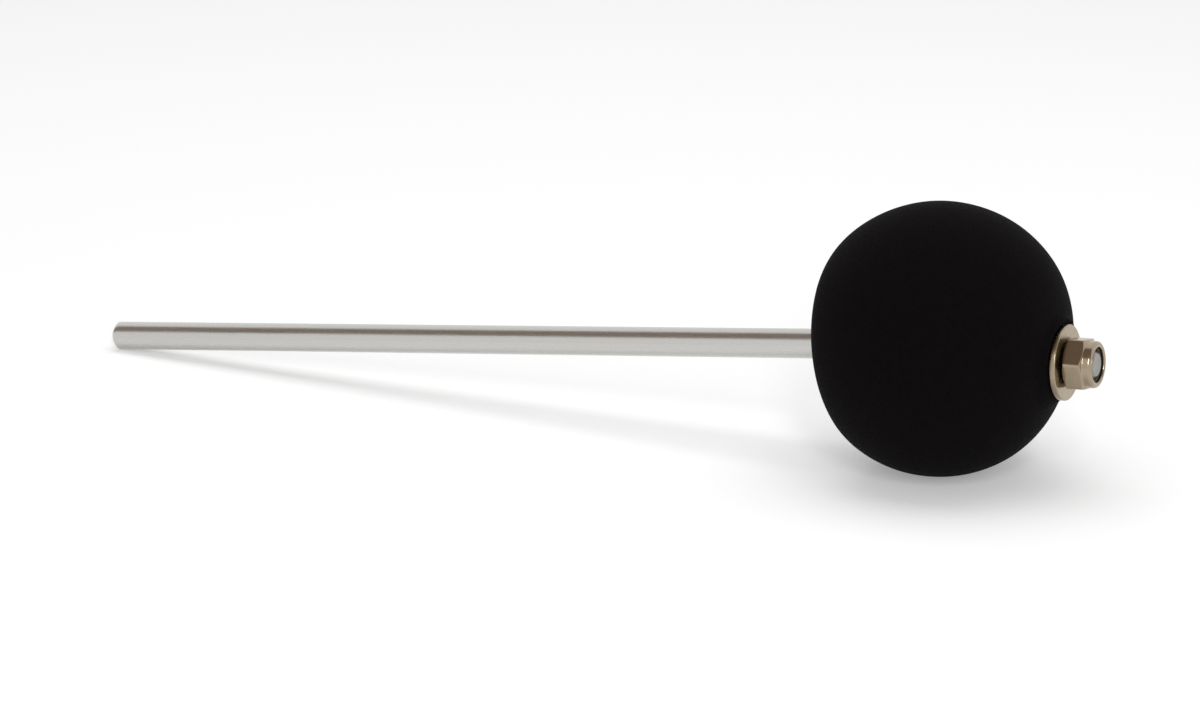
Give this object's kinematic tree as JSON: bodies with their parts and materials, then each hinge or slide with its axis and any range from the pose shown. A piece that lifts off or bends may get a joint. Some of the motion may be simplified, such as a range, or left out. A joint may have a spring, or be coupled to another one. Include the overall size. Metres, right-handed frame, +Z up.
{
  "type": "cajon pedal beater",
  "caption": "Plated steel rod beater for a cajon foot pedal, with a black foam ball held by a washer and a nylon-insert lock nut.",
  "frame": {"origin": "on the surface that the beater lies on, under the middle of its length", "axes": "+X along the beater from the rod's tail towards the ball, +Z up from the surface"},
  "size_m": [0.3026, 0.073, 0.073],
  "materials": {
    "plated_steel": "bright zinc plate, drawn lengthwise",
    "nickel": "warm nickel plate",
    "foam": "matte closed-cell foam",
    "ring_nylon": "smooth",
    "tube_nylon": "smooth"
  },
  "bodies": {
    "shaft": {"rod": "plated_steel", "back_nut": "plated_steel", "back_washer": "plated_steel", "core_sleeve": "tube_nylon", "front_washer": "nickel", "lock_nut": "nickel", "nylon_ring": "ring_nylon"},
    "head": {"ball": "foam"}
  },
  "joints": [
    {"name": "ball_turn", "type": "hinge", "parent": "shaft", "child": "head", "pos_m": [0.10664, 0, 0.03266], "axis": [0.9983, 0, 0.0586], "continuous": true}
  ]
}
